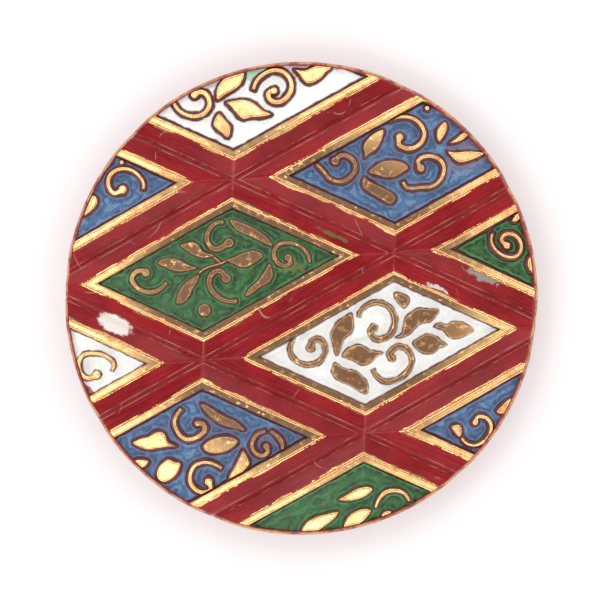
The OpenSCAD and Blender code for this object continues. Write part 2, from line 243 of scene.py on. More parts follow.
# %% Fill a plan with triangles
def staggered(low, high, spacing):
    """A grid of points between two corners, with every other row moved by half a step."""
    x, y = np.meshgrid(np.arange(low[0], high[0], spacing), np.arange(low[1], high[1], spacing * 0.866))
    x = x + spacing / 2 * (np.arange(len(x)) % 2)[:, None]
    return np.column_stack([x.ravel(), y.ravel()])


def fill(loops, spacing, keep, lines=(), rows=None):
    """Points and triangles of the plan where keep(points) holds. Loops and open lines stay as edges.

    The points between them are a staggered grid, or the ones given as rows."""
    edges, start = [], 0
    for line, closed in [(loop, 1) for loop in loops] + [(line, 0) for line in lines]:
        edges += [(start + k, start + (k + 1) % len(line)) for k in range(len(line) - 1 + closed)]
        start += len(line)
    fixed = np.vstack([*loops, *lines])
    grid = staggered(fixed.min(0), fixed.max(0), spacing) if rows is None else rows
    grid = grid[keep(grid)]
    grid = grid[distance(grid, seek(fixed)) > 0.6 * spacing]
    planned = [Vector(p) for p in np.vstack([fixed, grid])]
    made, _, triangles, *_ = delaunay_2d_cdt(planned, edges, [], 0, 1e-5)
    made = np.array([tuple(p) for p in made])
    triangles = np.array(triangles)
    return made, triangles[keep(made[triangles].mean(1))]


def rim_edges(triangles):
    """Directed edges round the outside of some triangles."""
    edges = {(int(t[k]), int(t[(k + 1) % 3])) for t in triangles for k in range(3)}
    return sorted(e for e in edges if (e[1], e[0]) not in edges)


# %% [markdown]
# The builder below turns a filled plan into a closed solid. It also stores named measures on the
# points, such as the distance to an outline. The materials read those to place paint, wear and painted
# light and shade, so a painted edge can be finer than the mesh.

# %% Build a closed layer
def make_piece(name, points, faces, measures):
    """A smooth mesh object from points in mm, with named measures stored on its points."""
    mesh = bpy.data.meshes.new(name)
    mesh.from_pydata((np.asarray(points) * MM).tolist(), [], [tuple(map(int, f)) for f in faces])
    for key, values in measures.items():
        mesh.attributes.new(key, "FLOAT", "POINT").data.foreach_set("value", np.float32(values))
    mesh.polygons.foreach_set("use_smooth", [True] * len(mesh.polygons))
    piece = bpy.data.objects.new(name, mesh)
    bpy.context.scene.collection.objects.link(piece)
    return piece


def under_side(xy, edges):
    """Triangles between the outline's own points, turned to look down, as rows of point numbers."""
    rim = sorted({i for e in edges for i in e})
    place = {i: k for k, i in enumerate(rim)}
    _, _, found, *_ = delaunay_2d_cdt(
        [Vector(p) for p in xy[rim]], [(place[a], place[b]) for a, b in edges], [], 0, 1e-7)
    found = np.array(found)
    found = found[inside(xy[rim][found].mean(1), [(xy[a], xy[b]) for a, b in edges])]
    return rim, place, found[:, ::-1]


def make_layer(name, xy, triangles, top, bottom, measures):
    """A closed solid between the heights top and bottom, both given at every plan point."""
    edges = rim_edges(triangles)
    rim, place, low = under_side(xy, edges)
    points = np.vstack([np.column_stack([xy, top]), np.column_stack([xy[rim], bottom[rim]])])
    n = len(xy)
    walls = [(b, a, n + place[a], n + place[b]) for a, b in edges]
    stored = {key: np.concatenate([values, values[rim]]) for key, values in measures.items()}
    piece = make_piece(name, points, [*triangles, *walls, *(low + n)], stored)
    mark_creases(piece)
    return piece


def mark_creases(piece, angle=50):
    """Sharp edges where faces meet at a steep angle, so that smooth shading stops there."""
    piece.data.set_sharp_from_angle(angle=math.radians(angle))


def finish_piece(piece, material, slot, *nodes):
    piece.data.materials.append(material)
    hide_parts(*nodes)
    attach(piece, "root")
    print(f"{piece.name}: {len(piece.data.polygons)} faces")


# %% [markdown]
# ## Small unevenness
# A hand-finished surface is never a true dome. Smooth noise with a stated size in millimetres moves
# each layer a little, so that reflections wander as they do on the real thing.

# %% Noise in millimetres
def waver(xy, size, seed):
    """Smooth noise between about -1 and 1, with features of that size in mm."""
    return np.array([noise.noise((x / size, y / size, seed)) for x, y in xy])


def ease(value, low, high):
    """0 below low, 1 above high, and a smooth step between."""
    t = np.clip((value - low) / (high - low), 0, 1)
    return t * t * (3 - 2 * t)


# %% [markdown]
# ## The red bands
# The coat's face has a V-groove along the middle of each band. Where two grooves cross, the deeper of
# the two wins, and a soft maximum rounds the hips between them. A narrow gutter runs along the bottom
# of each groove, where the mould's blade cut deepest. Between the bands the coat rises no higher than
# the panels' edges, and at the rim the face rolls over a small shoulder.

# %% Shape of the bands
GUTTER_HALF, GUTTER_DEEP, HIP_ROUND, SHOULDER = 0.2, 0.05, 0.12, 0.3
UNEVEN = 0.012


def soft_max(a, b, blend):
    h = np.clip(0.5 + (a - b) / (2 * blend), 0, 1)
    return b + (a - b) * h + blend * h * (1 - h)


def band_surface(xy):
    """Drop of the red bands below the dome."""
    depth = groove_drop - band_drop
    drops = []
    for k in (0, 1):
        away = np.abs(off_middle(xy, k))
        eased = np.sqrt(away**2 + 0.04**2) - 0.04
        gutter = GUTTER_DEEP * np.clip(1 - (away / GUTTER_HALF) ** 2, 0, 1)
        drops.append(groove_drop - depth * eased / half_band[k] + gutter)
    slopes = np.maximum(soft_max(*drops, HIP_ROUND), band_drop + UNEVEN)
    return slopes + UNEVEN * waver(xy, 2.5, 3)


def roll_over(xy):
    """How far the shoulder has rolled down at each point."""
    past = np.clip(np.hypot(*xy.T) - (disc_r - SHOULDER), 0, SHOULDER)
    return SHOULDER - np.sqrt(SHOULDER**2 - past**2)


# %% Trim outlines to the round face
RIM_TICKS = 2160


def trim_to_face(loop):
    """The part of a left-turning loop inside the face's circle, closed along the circle's own ticks."""
    radii = np.hypot(*loop.T)
    kept = radii < face_r - 0.03
    start = int(radii.argmin())
    found, left_at = [], 0
    for k in range(len(loop)):
        i, j = (start + k) % len(loop), (start + k + 1) % len(loop)
        if kept[i]:
            found.append(loop[i])
        if kept[i] != kept[j]:
            crossing = loop[i] if kept[j] else loop[j]
            tick = round(math.atan2(crossing[1], crossing[0]) / (2 * math.pi) * RIM_TICKS)
            if kept[i]:
                left_at = tick
            else:
                turns = (left_at + np.arange((tick - left_at) % RIM_TICKS + 1)) * 2 * math.pi / RIM_TICKS
                found += [*(face_r * np.column_stack([np.cos(turns), np.sin(turns)]))]
    return np.array(found)


def lozenge(middle, inset):
    """Corners of a panel's outline, moved inwards by inset, turning left."""
    reach = half_panel - inset
    signs = [(1, 1), (1, -1), (-1, -1), (-1, 1)]
    loop = np.array([middle + np.linalg.solve(normals, reach * sign) for sign in signs])
    return loop if area(loop) > 0 else loop[::-1]


print("a whole panel covers", round(area(lozenge(middles["green_centre"], 0)), 1), "mm2")

# %% [markdown]
# The coat is one closed skin: the face with its pockets, the side wall and the flat back. The creases
# and the edges of the gutters are kept as edges of the mesh, because a grid alone would blur them.

# %% Crease lines of the face
def band_lines():
    """Middle lines of the bands, and the two edges of each gutter, as open lines inside the disc."""
    lines = []
    for k, along in enumerate((falling, rising)):
        for step in (-2.5, -1.5, -0.5, 0.5, 1.5, 2.5):
            for offset in (-GUTTER_HALF, 0, GUTTER_HALF):
                away = origin @ normals[k] + step * pitches[k] + offset
                if abs(away) < disc_r - 1:
                    reach = math.sqrt((disc_r - 0.05) ** 2 - away**2)
                    count = math.ceil(2 * reach / 0.12)
                    t = np.linspace(-reach, reach, count)[:, None]
                    lines.append(normals[k] * away + along * t)
    return lines


def circle(radius, count=720):
    turn = np.linspace(0, 2 * math.pi, count, endpoint=False)
    return radius * np.column_stack([np.cos(turn), np.sin(turn)])


# %% Build the coat
pockets = [trim_to_face(resample(lozenge(m, 0), 0.12)) for m in middles.values()]
pocket_sides = np.vstack([sides(p) for p in pockets])
rings = [circle(disc_r - SHOULDER + SHOULDER * math.sin(math.radians(a))) for a in (0, 18, 36, 54, 72)]


def on_bands(xy):
    return (np.hypot(*xy.T) < disc_r) & ~inside(xy, pocket_sides)


def build_coat():
    rim = circle(disc_r)
    xy, triangles = fill([rim, *pockets, *rings], 0.13, on_bands, band_lines())
    top = height(xy, band_surface(xy)) - roll_over(xy)
    edges = rim_edges(triangles)
    border_points = sorted({i for e in edges for i in e})
    at_rim = {i for i in border_points if math.hypot(*xy[i]) > disc_r - 0.01}
    points = [*np.column_stack([xy, top])]
    faces = [*triangles]
    walls = [e for e in edges if e[0] in at_rim and e[1] in at_rim]
    below = {a: a for a, _ in walls}
    lathe = [(1, 0.62), (1, 0.25), (1, 0.07), (0.997, 0.03), (0.99, 0.006), (0.98, 0)]
    for scale, level in lathe:
        fresh = {a: len(points) + k for k, a in enumerate(sorted(below))}
        points += [np.array([*(xy[a] * scale), top[a] * level if level > 0.1 else disc_r * level / 3])
                   for a in sorted(below)]
        faces += [(below[b], below[a], fresh[a], fresh[b]) for a, b in walls]
        below = fresh
    for ring in (0.85, 0.6, 0.3):
        fresh = {a: len(points) + k for k, a in enumerate(sorted(below))}
        points += [np.array([*(xy[a] * ring), 0]) for a in sorted(below)]
        faces += [(below[b], below[a], fresh[a], fresh[b]) for a, b in walls]
        below = fresh
    faces.append([below[a] for a, _ in sorted(walls, key=lambda e: -math.atan2(*xy[e[0]][::-1]))])
    floor_edges = [e for e in edges if e not in set(walls)]
    rim_low, place, low = under_side(xy, floor_edges)
    start = len(points)
    floor_z = height(xy[rim_low], np.full(len(rim_low), field_drop + 0.35))
    points += [*np.column_stack([xy[rim_low], floor_z])]
    faces += [(b, a, start + place[a], start + place[b]) for a, b in floor_edges]
    faces += [*(low[:, ::-1] + start)]
    points = np.array(points)
    measures = {
        "off_falling": off_middle(points[:, :2], 0),
        "off_rising": off_middle(points[:, :2], 1),
    }
    piece = make_piece("red_lacquer", points, faces, measures)
    mark_creases(piece, 40)
    return piece


coat = build_coat()
print("coat:", len(coat.data.vertices), "points")

# %% [markdown]
# ## Gilt scrolls
# The leaves and scrolls were cut into the mould, so they stand up with flat tops and small rounded
# edges. The CAD outlines give their plan. A little smoothing rounds the facets, while pointed tips stay
# where they are. One profile then gives the drop at each distance inwards, and its steep start is what
# catches the light as a thin bright line.

# %% Smooth the plan of a relief
def soften(loop, spacing=0.06, rounds=4):
    """The loop with even points, relaxed except at sharp tips."""
    loop = resample(loop, spacing)
    for _ in range(rounds):
        before, after = np.roll(loop, 1, 0) - loop, np.roll(loop, -1, 0) - loop
        lengths = np.linalg.norm(before, axis=1) * np.linalg.norm(after, axis=1)
        folded = (before * after).sum(1) / lengths
        ease_in = np.where(folded > -0.3, 0, 0.25)[:, None]
        loop = loop + ease_in * (before + after)
    return loop


relief = {name: [soften(loop) for loop in outlines(name + "_scrollwork")] for name in panel_names}
relief_sides = {name: np.vstack([sides(loop) for loop in loops]) for name, loops in relief.items()}
relief_trees = {name: seek(np.vstack([resample(loop, 0.03) for loop in loops]))
                for name, loops in relief.items()}
print({name: len(loops) for name, loops in relief.items()}, "outlines of relief")

# %% Build the scrolls
# distance inwards and drop, both in mm
SCROLL_PROFILE = np.array([
    (0, 0.36), (0.025, 0.21), (0.055, 0.1), (0.09, 0.04), (0.13, 0.014), (0.18, 0),
])
SCROLL_ROOT = 0.62


def build_scrolls(name):
    loops = relief[name]
    xy, triangles = fill(loops, 0.07, lambda p: inside(p, relief_sides[name]))
    into = distance(xy, relief_trees[name])
    drop = np.interp(into, *SCROLL_PROFILE.T) + 0.012 * waver(xy, 1.2, 11) + 0.003 * waver(xy, 0.4, 12)
    top = height(xy, drop)
    measures = {"into_relief": into}
    return make_layer(name + "_scrolls", xy, triangles, top, height(xy, SCROLL_ROOT + 0 * into), measures)


# %% [markdown]
# ## Gilt borders
# A border is a moulded fillet round a panel. Its cross-section depends only on the distance inwards
# from the panel's edge, so one profile makes every border, with mitred corners for free. The gilder's
# brush ran a little over the outer edge, so the gold laps onto the red with a wandering edge.

# %% Outlines of a border
LAP = 0.18


def border_loops(name):
    """The border's outer edge, wandering over the red, and its straight inner edge."""
    middle = middles[name]
    straight = resample(lozenge(middle, 0), 0.08)
    seed = 7 + 3 * panel_names.index(name)
    lap = LAP * (0.8 + 1.2 * waver(straight, 2.2, seed) + 0.4 * waver(straight, 0.6, seed))
    wandering = middle + (straight - middle) * (1 + np.clip(lap, 0.01, 0.5) / half_panel.mean())[:, None]
    return [trim_to_face(wandering), trim_to_face(resample(lozenge(middle, border_w), 0.08))]


def mitres(middle, insets):
    """Lines from the outer to the inner corner of a border, where its sides meet."""
    found = np.array([lozenge(middle, inset) for inset in insets]).transpose(1, 0, 2)
    return [line for line in found if np.hypot(*line.T).max() < face_r - 0.1]


# %% Build a border
# distance inwards and drop, both in mm
PROFILE = np.array([
    (0, 0.2), (0.03, 0.12), (0.07, 0.055), (0.11, 0.022), (0.16, 0.008), (0.22, 0.004), (0.35, 0.004),
    (0.48, 0.006), (0.54, 0.02), (0.6, 0.08), (0.65, 0.19), (0.7, 0.35), (0.75, 0.6),
])
LAP_INSETS = [-0.4, -0.3, -0.22, -0.14, -0.07]
LAP_THICK = 0.02
BORDER_ROOT = 0.62


def build_border(name):
    middle = middles[name]
    loops = border_loops(name)
    ring = np.vstack([sides(loop) for loop in loops])
    insets = [*LAP_INSETS, *PROFILE[:-1, 0]]
    rows = np.vstack([resample(lozenge(middle, inset), 0.1) for inset in insets])
    rows = rows[np.hypot(*rows.T) < face_r - 0.04]
    xy, triangles = fill(loops, 0.07, lambda p: inside(p, ring), mitres(middle, PROFILE[1:-1, 0]), rows)
    into = into_panel(xy, middle)
    raised = np.interp(into, *PROFILE.T) + 0.01 * waver(xy, 0.9, 21)
    drop = np.where(into < 0, band_surface(xy) - LAP_THICK, raised)
    root = np.where(into < 0.3, band_surface(xy) + 0.03, BORDER_ROOT)
    measures = {"into_border": into}
    return make_layer(name + "_gilt_border", xy, triangles, height(xy, drop), height(xy, root), measures)


# %% [markdown]
# ## Pigment grounds
# The sunken ground of a panel was filled with thick colour. The brush could not reach right into the
# corners, so along the relief a narrow strip of the red ground stays bare, and the wet colour dried with
# a slightly raised edge. The strip climbs the foot of each scroll as a small fillet, left by the mould.

# %% How each panel was laid
BARE_STRIP = {
    "green_centre": 0.05, "white_centre": 0.04, "blue_upper": 0.14, "blue_lower": 0.15, "white_upper": 0.2,
    "blue_left": 0.12, "green_right": 0.2, "white_left": 0.05, "blue_right": 0.14, "green_lower": 0.08,
}
# drops of the bare bed and of the highest point that its fillet reaches on a scroll's side
BED, FOOT = 0.54, 0.37
# how high the raised edge of each colour stands
BEAD = {"green": 0.07, "white": 0.04, "blue": 0.05}


def ground_drop(xy, margin, to_relief, colour):
    """Drop of the painted ground below the dome. Margin is the distance inwards from the paint's edge."""
    filled = ease(margin, -0.07, 0.07)
    bead = BEAD[colour] * np.exp(-((margin - 0.12) / 0.1) ** 2)
    pigment = field_drop + 0.03 - bead + 0.02 * waver(xy, 1.2, 33) + 0.012 * waver(xy, 0.45, 34)
    fillet = (BED - FOOT) * (1 - ease(to_relief, -0.02, 0.24)) ** 1.5
    return np.minimum(BED - fillet, filled * pigment + (1 - filled) * BED)


# %% Build a ground
GROUND_ROOT = 0.72


def build_ground(name):
    middle = middles[name]
    loop = trim_to_face(resample(lozenge(middle, border_w - 0.13), 0.1))
    edges = sides(loop)
    xy, triangles = fill([loop], 0.085, lambda p: inside(p, edges))
    to_relief = distance(xy, relief_trees[name]) * np.where(inside(xy, relief_sides[name]), -1, 1)
    to_border = into_panel(xy, middle) - border_w
    wander = 0.09 * waver(xy, 0.9, 31) + 0.06 * waver(xy, 0.35, 32)
    margin = np.minimum(to_relief, to_border + 0.1) - BARE_STRIP[name] + wander
    drop = ground_drop(xy, margin, to_relief, name.split("_")[0])
    top, root = height(xy, drop), height(xy, GROUND_ROOT + 0 * drop)
    return make_layer(name + "_ground", xy, triangles, top, root, {"margin": margin})


# %% [markdown]
# ## The gilt shoulder
# A thin line of gold was run round the face's shoulder. Handling has rubbed it away in places. The ring
# lies just above the coat's rolled edge, so it follows the same curve.

# %% Build the shoulder's gilding
def build_shoulder():
    turn = np.linspace(0, 2 * math.pi, 1440, endpoint=False)
    around = circle(1, 1440)
    rim = around * 21
    width = 0.27 + 0.1 * waver(rim, 2.2, 41) + 0.06 * waver(rim, 0.6, 42) + 0.1 * np.cos(turn - 0.4)
    inner, outer = (disc_r - 0.06 - width)[:, None] * around, (disc_r - 0.006) * around
    ring = np.vstack([sides(inner), sides(outer)])
    rows = np.vstack([around * (disc_r - r) for r in (0.02, 0.045, 0.08, 0.12, 0.17, 0.23, 0.3, 0.38, 0.46)])
    xy, triangles = fill([inner, outer], 0.05, lambda p: inside(p, ring), (), rows)
    lie = height(xy, band_surface(xy)) - roll_over(xy)
    measures = {"off_rim": disc_r - np.hypot(*xy.T)}
    return make_layer("shoulder_gilding", xy, triangles, lie + 0.012, lie - 0.03, measures)

# %% [markdown]
# ## Shared effects
# Worn edges, brush streaks, dust, hairlines and smears appear on several finishes. Each is a node group
# with named inputs, built once and placed in each material with its own values. They all work on the
# place in millimetres, so a size of 0.3 means 0.3 mm on the real cake. A group gives only a mask. The
# shader itself stays in the material.

# %% Nodes in few words
def add(tree, kind, inputs=(), **settings):
    """A new node. Each input is a plain value, or an output socket to link from."""
    made = tree.nodes.new("ShaderNode" + kind)
    for key, value in settings.items():
        setattr(made, key, value)
    for key, value in dict(inputs).items():
        if isinstance(value, bpy.types.NodeSocket):
            tree.links.new(value, made.inputs[key])
        else:
            made.inputs[key].default_value = value
    return made


def maths(tree, operation, *values):
    return add(tree, "Math", enumerate(values), operation=operation).outputs[0]


def span(tree, value, low, high, to_low=0.0, to_high=1.0):
    """A smooth step of value from low to high."""
    inputs = {0: value, 1: low, 2: high, 3: to_low, 4: to_high}
    return add(tree, "MapRange", inputs, interpolation_type="SMOOTHSTEP").outputs[0]


def blend(tree, mask, under, over):
    """The colour under, covered by the colour over where mask is 1."""
    def colour(c):
        return c if isinstance(c, bpy.types.NodeSocket) else (*c, 1)
    return add(tree, "Mix", {0: mask, 6: colour(under), 7: colour(over)}, data_type="RGBA").outputs[2]


def cloud(tree, place, size, detail=2.0, rough=0.5):
    """Noise from about 0.2 to 0.8, with features of that size in mm."""
    scale = maths(tree, "DIVIDE", 1.0, size) if isinstance(size, bpy.types.NodeSocket) else 1 / size
    inputs = {"Vector": place, "Scale": scale, "Detail": detail, "Roughness": rough}
    return add(tree, "TexNoise", inputs).outputs["Fac"]


def new_group(name, inputs, output):
    """An empty node group, with its inputs' node and a way to send out the result."""
    tree = bpy.data.node_groups.new(name, "ShaderNodeTree")
    for title, kind, value in inputs:
        socket = tree.interface.new_socket(title, in_out="INPUT", socket_type="NodeSocket" + kind)
        socket.default_value = value
    tree.interface.new_socket(output, in_out="OUTPUT", socket_type="NodeSocketFloat")
    start, end = tree.nodes.new("NodeGroupInput"), tree.nodes.new("NodeGroupOutput")
    return tree, start.outputs, lambda socket: tree.links.new(socket, end.inputs[output])


def use(tree, group, **values):
    """A group placed in a tree. Underscores in the input names stand for spaces."""
    made = tree.nodes.new("ShaderNodeGroup")
    made.node_tree = group
    for key, value in values.items():
        socket = made.inputs[key.replace("_", " ").capitalize()]
        if isinstance(value, bpy.types.NodeSocket):
            tree.links.new(value, socket)
        else:
            socket.default_value = value
    return made.outputs[0]


PLACE = ("Place", "Vector", (0, 0, 0))


# %% Ragged edge of a paint or a worn place
def make_ragged_edge():
    inputs = [PLACE, ("Distance", "Float", 0), ("Where", "Float", 0), ("Softness", "Float", 0.05),
              ("Wander", "Float", 0.1), ("Size", "Float", 0.5)]
    tree, given, send = new_group("ragged_edge", inputs, "Mask")
    noise_value = cloud(tree, given["Place"], given["Size"], 3.0, 0.6)
    wander = maths(tree, "MULTIPLY", maths(tree, "SUBTRACT", noise_value, 0.5), given["Wander"])
    moved = maths(tree, "MULTIPLY_ADD", wander, 4.0, given["Distance"])
    past = maths(tree, "SUBTRACT", moved, given["Where"])
    send(span(tree, maths(tree, "DIVIDE", past, given["Softness"]), -0.5, 0.5))
    return tree


ragged_edge = make_ragged_edge()


# %% Brush streaks
def make_streaks():
    inputs = [PLACE, ("Angle", "Float", 0), ("Length", "Float", 4), ("Width", "Float", 0.2)]
    tree, given, send = new_group("brush_streaks", inputs, "Streak")
    back = maths(tree, "MULTIPLY", given["Angle"], -1.0)
    turned = add(tree, "VectorRotate", {"Vector": given["Place"], "Angle": back},
                 rotation_type="Z_AXIS").outputs[0]
    x, y, z = add(tree, "SeparateXYZ", {0: turned}).outputs
    squeezed = add(tree, "CombineXYZ", {0: maths(tree, "DIVIDE", x, given["Length"]),
                                        1: maths(tree, "DIVIDE", y, given["Width"]), 2: z}).outputs[0]
    send(cloud(tree, squeezed, 1.0, 3.0, 0.6))
    return tree


brush_streaks = make_streaks()


# %% Dust specks
def make_dust():
    inputs = [PLACE, ("Spacing", "Float", 0.8), ("Speck", "Float", 0.06), ("Share", "Float", 0.3)]
    tree, given, send = new_group("dust_specks", inputs, "Mask")
    bent = add(tree, "VectorMath", {0: given["Place"], 1: add(tree, "TexNoise", {
        "Vector": given["Place"], "Scale": 9.0}).outputs["Color"]}, operation="ADD").outputs[0]
    cells = add(tree, "TexVoronoi", {"Vector": bent, "Scale": maths(tree, "DIVIDE", 1.0, given["Spacing"])})
    chance = add(tree, "SeparateColor", {0: cells.outputs["Color"]}).outputs
    away = maths(tree, "MULTIPLY", cells.outputs["Distance"], given["Spacing"])
    size = maths(tree, "MULTIPLY", given["Speck"], maths(tree, "ADD", chance[1], 0.3))
    near = span(tree, maths(tree, "DIVIDE", away, size), 0.6, 1.1, 1.0, 0.0)
    send(maths(tree, "MULTIPLY", near, maths(tree, "LESS_THAN", chance[0], given["Share"])))
    return tree


dust_specks = make_dust()


# %% Hairlines
def make_hairlines():
    inputs = [PLACE, ("Spacing", "Float", 5), ("Width", "Float", 0.05), ("Share", "Float", 0.5)]
    tree, given, send = new_group("hairlines", inputs, "Mask")
    level = cloud(tree, given["Place"], given["Spacing"], 1.0)
    off = maths(tree, "ABSOLUTE", maths(tree, "SUBTRACT", level, 0.5))
    off = maths(tree, "MULTIPLY", off, given["Spacing"])
    line = span(tree, maths(tree, "DIVIDE", off, given["Width"]), 0.3, 1.0, 1.0, 0.0)
    seen = cloud(tree, given["Place"], 2.2, 2.0)
    gate = span(tree, seen, maths(tree, "SUBTRACT", 0.62, maths(tree, "MULTIPLY", given["Share"], 0.3)), 0.66)
    send(maths(tree, "MULTIPLY", line, gate))
    return tree


hairlines = make_hairlines()


# %% Smear of stray colour
def make_smear():
    inputs = [PLACE, ("Centre", "Vector", (0, 0, 0)), ("Half length", "Float", 1),
              ("Half width", "Float", 0.5), ("Angle", "Float", 0), ("Ragged", "Float", 0.5)]
    tree, given, send = new_group("smear", inputs, "Mask")
    ends = {0: given["Place"], 1: given["Centre"]}
    moved = add(tree, "VectorMath", ends, operation="SUBTRACT").outputs[0]
    back = maths(tree, "MULTIPLY", given["Angle"], -1.0)
    turned = add(tree, "VectorRotate", {"Vector": moved, "Angle": back}, rotation_type="Z_AXIS").outputs[0]
    x, y, _ = add(tree, "SeparateXYZ", {0: turned}).outputs
    u = maths(tree, "DIVIDE", x, given["Half length"])
    v = maths(tree, "DIVIDE", y, given["Half width"])
    square = maths(tree, "ADD", maths(tree, "MULTIPLY", u, u), maths(tree, "MULTIPLY", v, v))
    far = maths(tree, "SQRT", square)
    noise_value = maths(tree, "SUBTRACT", cloud(tree, given["Place"], 0.5, 4.0, 0.65), 0.5)
    edge = maths(tree, "MULTIPLY_ADD", noise_value, maths(tree, "MULTIPLY", given["Ragged"], 4.0), far)
    send(span(tree, edge, 0.75, 1.05, 1.0, 0.0))
    return tree


smear = make_smear()
print("effects:", [g.name for g in bpy.data.node_groups])


# %% Start a material
def start_material(name, **settings):
    """A material with one Principled shader. Returns its tree, its shader and the place in mm."""
    material = bpy.data.materials.new(name)
    material.use_nodes = True
    tree = material.node_tree
    shader = tree.nodes["Principled BSDF"]
    for key, value in settings.items():
        shader.inputs[key.replace("_", " ").title().replace("Ior", "IOR")].default_value = value
    coordinates = tree.nodes.new("ShaderNodeTexCoord").outputs["Object"]
    place = add(tree, "VectorMath", {0: coordinates, "Scale": 1 / MM}, operation="SCALE").outputs[0]
    return material, tree, shader, place


def measured(tree, name):
    return add(tree, "Attribute", attribute_name=name).outputs["Fac"]


def near(tree, value, middle, width):
    """1 where value is at middle, falling smoothly to 0 at width away from it."""
    off = maths(tree, "ABSOLUTE", maths(tree, "SUBTRACT", value, middle))
    return span(tree, off, 0.0, width, 1.0, 0.0)


def connect(tree, shader, colour, rough, heights, metallic=None):
    """Links the finish to its shader. Heights are (socket, mm) pairs, added up into one bump."""
    tree.links.new(colour, shader.inputs["Base Color"])
    tree.links.new(rough, shader.inputs["Roughness"])
    if metallic is not None:
        tree.links.new(metallic, shader.inputs["Metallic"])
    total = maths(tree, "MULTIPLY", heights[0][0], heights[0][1])
    for socket, depth in heights[1:]:
        total = maths(tree, "MULTIPLY_ADD", socket, depth, total)
    bump = add(tree, "Bump", {"Height": total, "Strength": 1.0, "Distance": MM})
    tree.links.new(bump.outputs[0], shader.inputs["Normal"])


# %% [markdown]
# ## Red lacquer
# Cinnabar-red lacquer is dense and smooth, with a soft shine. On this cake a broken pale line runs along
# both edges of the gutter, partly dust and partly painted highlight where those edges catch the light.
# The hips, where two slopes meet, are painted lighter as highlight, more on one pair of opposite hips
# than the other. Colour changes follow the stored distances, so they sit exactly on the moulded shape.

# %% Red lacquer material
RED, DEEP_RED, HAZE_RED = (0.27, 0.009, 0.012), (0.2, 0.004, 0.008), (0.34, 0.035, 0.035)
GUTTER_DUST_AND_HIGHLIGHT, HIP_HIGHLIGHT, LINT = (0.6, 0.24, 0.2), (0.48, 0.1, 0.09), (0.7, 0.45, 0.4)
FALL_TURN, RISE_TURN = math.atan2(*falling[::-1]), math.atan2(*rising[::-1])


def make_lacquer():
    material, tree, shader, place = start_material("red_lacquer", specular_ior_level=0.25)
    off_f, off_r = measured(tree, "off_falling"), measured(tree, "off_rising")
    away_f, away_r = maths(tree, "ABSOLUTE", off_f), maths(tree, "ABSOLUTE", off_r)
    part_f = maths(tree, "DIVIDE", away_f, float(half_band[0]))
    part_r = maths(tree, "DIVIDE", away_r, float(half_band[1]))
    on_fall = maths(tree, "LESS_THAN", part_f, part_r)
    streak_f = use(tree, brush_streaks, place=place, angle=FALL_TURN, length=3.0, width=0.18)
    streak_r = use(tree, brush_streaks, place=place, angle=RISE_TURN, length=3.0, width=0.18)
    streak = add(tree, "Mix", {0: on_fall, 2: streak_r, 3: streak_f}).outputs[0]
    patch = cloud(tree, place, 3.0, 4.0, 0.6)
    colour = blend(tree, span(tree, patch, 0.35, 0.65), DEEP_RED, RED)
    colour = blend(tree, maths(tree, "MULTIPLY", span(tree, streak, 0.5, 0.7), 0.12), colour, HAZE_RED)
    # gutter: a broken pale line along each of its edges, partly dust and partly painted highlight where the
    # edges catch the light
    away = maths(tree, "MINIMUM", away_f, away_r)
    broken = span(tree, cloud(tree, place, 1.6, 4.0, 0.7), 0.44, 0.6, 0.05, 1.0)
    lines = maths(tree, "MULTIPLY", near(tree, away, 0.22, 0.06), broken)
    colour = blend(tree, maths(tree, "MULTIPLY", lines, 0.75), colour, GUTTER_DUST_AND_HIGHLIGHT)
    # hips: where the two slopes meet, painted lighter as highlight, more on one pair of opposite hips than
    # the other
    spread = maths(tree, "ABSOLUTE", maths(tree, "SUBTRACT", part_f, part_r))
    inside_crossing = span(tree, maths(tree, "MAXIMUM", part_f, part_r), 0.98, 1.1, 1.0, 0.0)
    hip_highlight = maths(tree, "MULTIPLY", span(tree, spread, 0.01, 0.09, 1.0, 0.0), inside_crossing)
    upright = span(tree, maths(tree, "MULTIPLY", off_f, off_r), -0.01, 0.01, 0.2, 0.6)
    # noise that breaks the painted hip highlight into patches
    wear_and_painted_light = span(tree, cloud(tree, place, 0.9, 4.0, 0.7), 0.42, 0.58, 0.2, 0.8)
    hip_highlight = maths(tree, "MULTIPLY", maths(tree, "MULTIPLY", hip_highlight, upright), wear_and_painted_light)
    colour = blend(tree, hip_highlight, colour, HIP_HIGHLIGHT)
    dust = use(tree, dust_specks, place=place, spacing=0.55, speck=0.06, share=0.12)
    hair = use(tree, hairlines, place=place, spacing=9.0, width=0.03, share=0.3)
    pale = maths(tree, "MAXIMUM", maths(tree, "MULTIPLY", dust, 0.7), maths(tree, "MULTIPLY", hair, 0.4))
    colour = blend(tree, pale, colour, LINT)
    for centre, length, width, turn, ragged, tint, cover in SMEARS:
        mark = use(tree, smear, place=place, centre=(*centre, FACE_LEVEL), half_length=length,
                   half_width=width, angle=math.radians(turn), ragged=ragged)
        colour = blend(tree, maths(tree, "MULTIPLY", flat_face(tree, place, mark), cover), colour, tint)
    rough = span(tree, maths(tree, "ADD", streak, maths(tree, "MULTIPLY", pale, 0.5)), 0.3, 0.8, 0.2, 0.42)
    pebble = cloud(tree, place, 0.35, 4.0, 0.6)
    connect(tree, shader, colour, rough, [(streak, 0.01), (pebble, 0.008), (pale, 0.01)])
    return material


def flat_face(tree, place, mask):
    """The mask, only on the face of the cake and not on its side or back."""
    _, _, z = add(tree, "SeparateXYZ", {0: place}).outputs
    return maths(tree, "MULTIPLY", mask, maths(tree, "GREATER_THAN", z, float(disc_r / 4)))


FACE_LEVEL = 6.0
